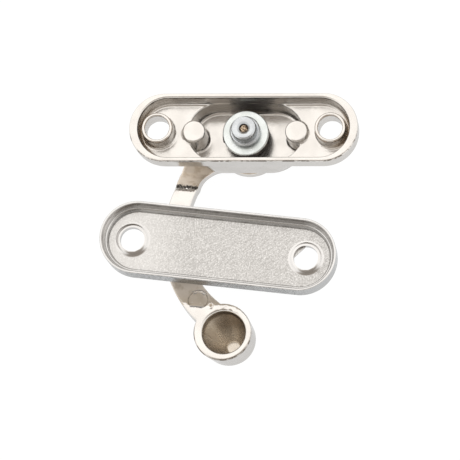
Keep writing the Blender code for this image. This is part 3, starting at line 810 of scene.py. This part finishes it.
def slope_reflections(g, x, y, mottle, lower):
    """The strap's matt slopes, coloured as painted reflections. The lower one is browner by the knob, with
    a painted dark reflection line round its mark.
    """
    # painted reflections of the nearby nickel walls, mottled by noise
    matt = g.blend(mottle, *UPPER_SLOPE_REFLECTION)
    dull = g.blend(mottle, *LOWER_SLOPE_REFLECTION)
    dull = g.blend(g.spread(y, 0.85, 0.0, -21.5 * MM, -19.6 * MM), dull, KNOB_END_BROWN)
    # Painted reflection: a broken dark ring round the mark's edge
    ring = g.band(g.length(g.offset(x, y, MARK_AT)), (MARK_R - 0.1) * MM, (MARK_R + 0.04) * MM)
    ring = g.product(ring, g.patchy(g.grain(0.8 * MM, 3.0), 0.35, 0.9))
    dull = g.blend(ring, dull, MARK_REFLECTION_BROWN)
    return g.blend(lower, matt, dull)


def hollow_light_and_shade(g, x, y):
    """Painted reflections as brown streaks that fan out from the hollow's deepest part, painted shade that
    grows dark up its far wall, and a lighter painted colour near its floor.
    """
    offset = g.offset(x, y, (HOLLOW_FLOOR_SHIFT[0], HOLLOW_FLOOR_SHIFT[1] - KNOB_REACH))
    spoke = g.vector_maths("NORMALIZE", offset).outputs["Vector"]
    streak = g.put("ShaderNodeTexNoise", Vector=spoke, Scale=2.6, Detail=3.0).outputs["Fac"]
    brown = g.blend(g.spread(streak, 0.0, 1.0, 0.42, 0.62), HOLLOW_DARK, HOLLOW_LIGHT)
    outward = g.vector_maths("DOT_PRODUCT", spoke)
    outward.inputs[1].default_value = SHADED_SIDE
    far_shade = g.spread(outward.outputs["Value"], 0.0, 1.0, 0.15, 0.92)
    brown = g.blend(far_shade, brown, HOLLOW_SHADE)
    near = g.spread(g.length(offset), 1.0, 0.0, 1.1 * MM, 2.7 * MM)
    return g.blend(near, brown, HOLLOW_NEAR)


def arm_nickel(name):
    """Plated nickel, matt on the strap's two slopes, with painted brown shade and reflections in the knob's
    hollow, painted reflections on the slopes, and painted dark reflection lines.
    """
    g = Graph(name)
    colour, rough = nickel_layers(g)
    x, y, z = g.about(-REST_SWING, PIVOT)
    reach = g.length(g.offset(x, y, (0.0, -KNOB_REACH)))
    mouth, floor = (BACK - KNOB_MOUTH) * MM, HOLLOW_FLOOR_Z
    hollow = g.product(g.spread(reach, 1.0, 0.0, (HOLLOW_R + 0.08) * MM, (HOLLOW_R + 0.12) * MM),
                       g.spread(z, 1.0, 0.0, mouth - 0.35 * MM, mouth - 0.12 * MM),
                       g.spread(z, 0.0, 1.0, (floor - 0.5) * MM, (floor - 0.3) * MM))

    facing = g.facing_up()
    open_side = g.spread(facing, 0.0, 1.0, 0.45, 0.6)
    jagged = g.maths("ADD", y, g.patchy(g.grain(0.2 * MM, 3.0), -0.16 * MM, 0.16 * MM, 0.3, 0.7))
    upper = g.band(jagged, -7.0 * MM, -3.0 * MM)
    lower = g.product(g.band(y, -21.9 * MM, -17.0 * MM), g.spread(facing, 1.0, 0.0, 0.955, 0.98))
    slope = g.product(open_side, g.maths("MAXIMUM", upper, lower))
    mottle = g.spread(g.grain(0.9 * MM, 3.0), 0.0, 1.0, 0.45, 0.7)
    # Painted reflection: a broken dark band where the upper slope meets the strap's flat
    edge = g.product(g.band(jagged, -7.08 * MM, -6.64 * MM), open_side,
                     g.patchy(g.grain(0.16 * MM, 2.0), 1.0, 0.5, 0.5, 0.7))
    # Painted reflection: a broken dark line round the knob's lower rim
    rim = g.product(g.band(reach, (KNOB_R - 0.14) * MM, (KNOB_R + 0.03) * MM),
                    g.spread(z, 0.0, 1.0, mouth - 0.3 * MM, mouth - 0.15 * MM),
                    g.spread(y, 1.0, 0.0, -(KNOB_REACH + 0.5) * MM, -(KNOB_REACH - 1.2) * MM),
                    g.patchy(g.grain(0.9 * MM, 3.0), 0.35, 0.95, 0.42, 0.58))

    # Painted light and shade below: the hollow's streaks and shade, the slopes' reflections, and dark
    # reflection lines at the slope's edge and the knob's rim
    colour = g.blend(hollow, colour, hollow_light_and_shade(g, x, y))
    colour = g.blend(slope, colour, slope_reflections(g, x, y, mottle, lower))
    colour = g.blend(edge, colour, STRAP_REFLECTION_LINE)
    colour = g.blend(rim, colour, REFLECTION_LINE_BROWN)
    rough = g.maths("ADD", rough, g.maths("MULTIPLY", hollow, 0.1))
    rough = g.maths("ADD", rough, g.maths("MULTIPLY", slope, 0.38))
    matt_share = g.maths("ADD", g.product(lower, open_side, 0.45), g.maths("MULTIPLY", hollow, 0.2))
    return g.finish(colour, rough, g.maths("SUBTRACT", 1.0, matt_share))


def brushed_floor(g, x):
    """Colour, scratches and specks of a floor that is brushed two ways, painted lighter at its left end,
    with painted glints.
    """
    along = g.grain(0.12 * MM, 3.0, (math.radians(38), 8.0))
    across = g.grain(0.12 * MM, 3.0, (math.radians(84), 7.0))
    speck = g.grain(0.2 * MM, 3.0, None, 0.7)
    scratch = g.blend(g.spread(g.grain(5.0 * MM, 1.0), 0.0, 1.0), along, across)
    scratch = g.spread(scratch, 0.0, 1.0, 0.38, 0.62)
    colour = g.blend(scratch, SCRATCH_DARK, SCRATCH_LIGHT)
    colour = g.blend(g.spread(speck, 0.0, 0.7, 0.44, 0.62), colour, SPECK)
    # Painted light: the floor's left end is lighter
    colour = g.blend(g.spread(x, 0.5, 0.0, -10.0 * MM, -3.0 * MM), colour, LEFT_END_LIGHT)
    glints = g.spread(g.grain(0.17 * MM, 2.0, None, 0.6), 0.0, 0.75, 0.53, 0.66)
    return g.blend(glints, colour, GLINT), scratch, speck


def painted_wall_lines(g, x, y, z, reach, floor_z):
    """Painted dark lines of shade and reflection round the pan's wall, under the rim and at its foot, clear
    of the screw holes.
    """
    ragged = g.maths("ADD", z, g.patchy(g.grain(0.6 * MM, 3.0), -0.06 * MM, 0.06 * MM, 0.3, 0.7))
    lines = g.maths("MAXIMUM", g.band(ragged, (BACK - 0.42) * MM, (BACK - 0.18) * MM),
                    g.band(ragged, floor_z + 0.02 * MM, floor_z + 0.24 * MM))
    clear = g.maths("MAXIMUM", g.spread(g.maths("ABSOLUTE", y), 0.0, 1.0, 2.4 * MM, 2.6 * MM),
                    g.spread(reach, 0.0, 1.0, 3.2 * MM, 3.4 * MM))
    steep = g.spread(g.facing_up(), 1.0, 0.0, 0.75, 0.95)
    return g.product(lines, g.spread(reach, 1.0, 0.0, 4.2 * MM, 4.3 * MM), clear, steep,
                     g.patchy(g.grain(1.6 * MM, 3.0), 0.35, 0.85))


def brushed_nickel(name):
    """Brushed and speckled on the pan's floor, smooth on the walls, and pitted along the outer sides."""
    g = Graph(name)
    x, y, z = g.about(KEEPER_TURN, KEEPER_MIDDLE)
    floor_z = (BACK - KEEPER_FLOOR) * MM
    floor = g.product(g.spread(z, 1.0, 0.0, floor_z + 0.03 * MM, floor_z + 0.12 * MM),
                      g.spread(g.facing_up(), 0.0, 1.0, -0.1, 0.2))
    reach = g.obround_reach(x, y, KEEPER_LENGTH, KEEPER_WIDTH)
    outside = g.product(g.spread(reach, 0.0, 1.0, 4.25 * MM, 4.4 * MM),
                        g.spread(g.facing_up(), 1.0, 0.12, 0.5, 0.95))
    sides = g.product(outside, g.spread(g.maths("ABSOLUTE", x), 1.0, 0.15, 8.5 * MM, 13.0 * MM))

    tone = g.grain(3.0 * MM, 3.0)
    brushed, scratch, speck = brushed_floor(g, x)
    walls = g.blend(g.spread(tone, 0.0, 1.0), *KEEPER_WALL)
    walls = g.blend(outside, walls, KEEPER_SIDE)
    colour = g.blend(floor, walls, brushed)
    # Painted shade: the AO node darkens the keeper's corners
    colour = g.blend(g.spread(g.recess(1.2 * MM), 0.0, 1.0, 0.0, 0.35), KEEPER_CORNER_SHADE, colour)
    blots = g.product(g.patchy(g.grain(0.26 * MM, 3.0, None, 0.7), 0.1, 0.85, 0.45, 0.58), sides)
    colour = g.blend(blots, colour, KEEPER_BLOT)
    # Painted shade and reflection lines round the pan's wall
    colour = g.blend(painted_wall_lines(g, x, y, z, reach, floor_z), colour, KEEPER_PAINTED_LINE)

    rough = g.maths("ADD", g.spread(tone, 0.12, 0.17), g.maths("MULTIPLY", floor, 0.16))
    pits = g.product(g.grain(0.32 * MM, 3.0, None, 0.65), sides)
    streaks, specks = g.product(scratch, floor), g.product(speck, floor)
    g.bump((tone, 0.00001), (streaks, 0.0000025), (specks, 0.000003), (pits, 0.00012))
    return g.finish(colour, rough)


def bright_zinc(name, tones, metallic):
    """Zinc plating with a satin, faintly clouded face."""
    g = Graph(name)
    tone = g.grain(1.2 * MM, 2.0)
    fine = g.grain(0.15 * MM, 2.0)
    colour = g.blend(g.spread(tone, 0.0, 1.0), *tones)
    rough = g.maths("ADD", g.spread(tone, 0.22, 0.28), g.spread(fine, 0.0, 0.06))
    g.bump((tone, 0.000003), (fine, 0.000001))
    return g.finish(colour, rough, metallic)


def spring_steel(name):
    """Dark, oily wire."""
    g = Graph(name)
    tone = g.grain(0.5 * MM, 2.0)
    colour = g.blend(g.spread(tone, 0.0, 1.0), *OILY_STEEL)
    g.bump((tone, 0.000004))
    return g.finish(colour, g.spread(tone, 0.32, 0.5))


def peened_steel(name):
    """Rough and coppery at the pin's peened back end, and nickel-plated at its head."""
    g = Graph(name)
    tone = g.grain(0.22 * MM, 3.0, None, 0.6)
    height = g.put("ShaderNodeSeparateXYZ", Vector=g.coords).outputs["Z"]
    back_end = g.spread(height, 0.0, 1.0, 2.0 * MM, 4.0 * MM)
    rough_metal = g.blend(g.spread(tone, 0.0, 1.0, 0.42, 0.58), PEENED_DARK, PEENED_LIGHT)
    clouds = g.spread(g.grain(1.5 * MM, 2.0), 0.0, 1.0)
    plating = g.blend(clouds, *PIN_NICKEL)
    g.bump((g.maths("MULTIPLY", tone, back_end), 0.00015), (g.grain(0.12 * MM, 2.0), 0.000002))
    rough = g.maths("ADD", g.spread(tone, 0.14, 0.22), g.maths("MULTIPLY", back_end, 0.12))
    return g.finish(g.blend(back_end, plating, rough_metal), rough)


# Putting it together


def dress_node(name, material):
    """Gives a CAD node that stays in view its material."""
    node = frame["nodes"][name]
    node.data.materials.clear()
    node.data.materials.append(material)


def build_pieces():
    """Makes the four fine pieces, and dresses the three CAD nodes that stay."""
    plate = make_upper_plate()
    cast(plate, PLATE_VOXEL, PLATE_PASSES, seed=1.0)
    place_piece(plate)
    adopt(plate, "upper_plate", "plate", plate_nickel("plate_nickel"))

    arm = make_swing_arm()
    cast(arm, ARM_VOXEL, ARM_PASSES, seed=5.0)
    roughen(arm, UPPER_EDGE_Y, half_width=0.55, size=0.28, amount=0.09)
    roughen(arm, SLOPE_END, half_width=0.45, size=0.35, amount=0.05)
    place_piece(arm, -REST_SWING)
    adopt(arm, "swing_arm", "arm", arm_nickel("arm_nickel"))

    keeper = make_keeper_plate()
    place_piece(keeper, KEEPER_TURN, KEEPER_MIDDLE)
    keeper.data.set_sharp_from_angle(angle=SHARP_ANGLE)
    keeper.modifiers.new("flat_faces", "WEIGHTED_NORMAL").keep_sharp = True
    adopt(keeper, "keeper_plate", "keeper", brushed_nickel("brushed_nickel"))

    dress_node("spring_washer", bright_zinc("washer_zinc", WASHER_ZINC, metallic=0.97))
    dress_node("retaining_collar", bright_zinc("collar_zinc", COLLAR_ZINC, metallic=0.9))

    spring = make_spring()
    place_piece(spring)
    adopt(spring, "return_spring", "plate", spring_steel("spring_steel"))
    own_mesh(spring)
    dress_node("pivot_pin", peened_steel("peened_steel"))


bpy.context.scene.view_settings.view_transform = "Standard"
add_camera()
add_floor()
add_world()
build_pieces()
